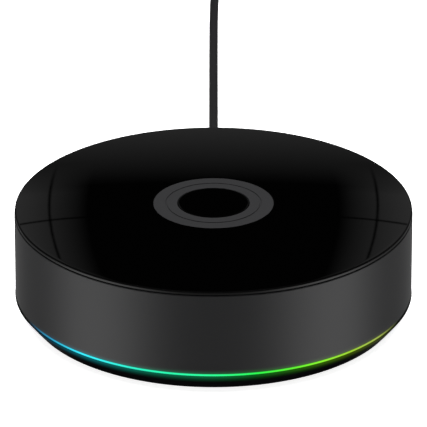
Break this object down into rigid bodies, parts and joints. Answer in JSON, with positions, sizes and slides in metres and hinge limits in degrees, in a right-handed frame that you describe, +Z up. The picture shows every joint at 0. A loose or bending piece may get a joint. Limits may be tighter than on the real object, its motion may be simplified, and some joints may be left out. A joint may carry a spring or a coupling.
{
  "type": "streaming media player",
  "caption": "Round streaming media player with a glossy crowned top, ring and push button, glowing slit round the wall, rear port bay and a power cord.",
  "frame": {"origin": "middle of the face it rests on, on the axis of the round body", "axes": "+Z up along the body's axis, +Y to the back where the ports and the cord are, front towards -Y"},
  "size_m": [0.1551, 0.3545, 0.0353],
  "materials": {
    "matte_shell": "fine matte",
    "gloss_cover": "piano gloss",
    "ring_matte": "satin",
    "base_black": "satin",
    "foot_rubber": "matte",
    "light_guide": "frosted translucent",
    "lamp": "clear",
    "switch_plastic": "moulded",
    "connector_plastic": "moulded",
    "circuit_board": "solder mask",
    "chip_black": "moulded",
    "thermal_pad": "soft",
    "cast_aluminium": "cast",
    "shield_metal": "tinned",
    "socket_metal": "nickel plated",
    "contact_gold": "gold plated",
    "aerial_copper": "printed film",
    "coax_black": "smooth",
    "flat_cable": "film",
    "screw_steel": "zinc plated",
    "plug_plastic": "satin",
    "cord_rubber": "satin",
    "tie_fabric": "woven strap"
  },
  "bodies": {
    "chassis": {"outer_sleeve": "matte_shell", "top_cover": "gloss_cover", "button_ring": "ring_matte", "tact_switch": "switch_plastic", "button_board": "circuit_board", "button_board_screws": "screw_steel", "button_cable": "flat_cable", "light_ring": "light_guide", "led_board": "circuit_board", "leds": "lamp", "led_cable": "flat_cable", "base_tray": "base_black", "foot_ring": "foot_rubber", "case_screws": "screw_steel", "main_board": "circuit_board", "board_screws": "screw_steel", "board_connectors": "connector_plastic", "soc_chip": "chip_black", "ram_chips": "chip_black", "soc_shield": "shield_metal", "thermal_pad": "thermal_pad", "heatsink": "cast_aluminium", "heatsink_screws": "screw_steel", "flash_chip": "chip_black", "power_chip": "chip_black", "inductors": "chip_black", "capacitors": "shield_metal", "network_magnetics": "chip_black", "radio_module": "shield_metal", "antennas": "aerial_copper", "antenna_cables": "coax_black", "port_panel": "base_black", "video_socket": "socket_metal", "video_tongue": "connector_plastic", "power_socket": "socket_metal", "power_tongue": "connector_plastic", "network_socket": "socket_metal", "network_contacts": "contact_gold", "reset_switch": "switch_plastic", "plug_shell": "socket_metal", "power_plug": "plug_plastic", "strain_relief": "cord_rubber", "power_cord": "cord_rubber", "cord_coil": "cord_rubber", "cord_tie": "tie_fabric", "cord_tail": "cord_rubber", "usb_relief": "cord_rubber", "usb_body": "plug_plastic", "usb_shell": "socket_metal", "usb_tongue": "connector_plastic"},
    "top_button": {"button_cap": "gloss_cover", "switch_plunger": "switch_plastic"},
    "reset_button": {"reset_button": "switch_plastic", "reset_plunger": "switch_plastic"}
  },
  "joints": [
    {"name": "top_button_press", "type": "slide", "parent": "chassis", "child": "top_button", "axis": [0, 0, -1], "range_m": [0, 0.0006], "stiffness_N_per_m": 700, "springref_m": -0.0003},
    {"name": "reset_button_press", "type": "slide", "parent": "chassis", "child": "reset_button", "axis": [0, -1, 0], "range_m": [0, 0.0004], "stiffness_N_per_m": 600, "springref_m": -0.0002}
  ]
}
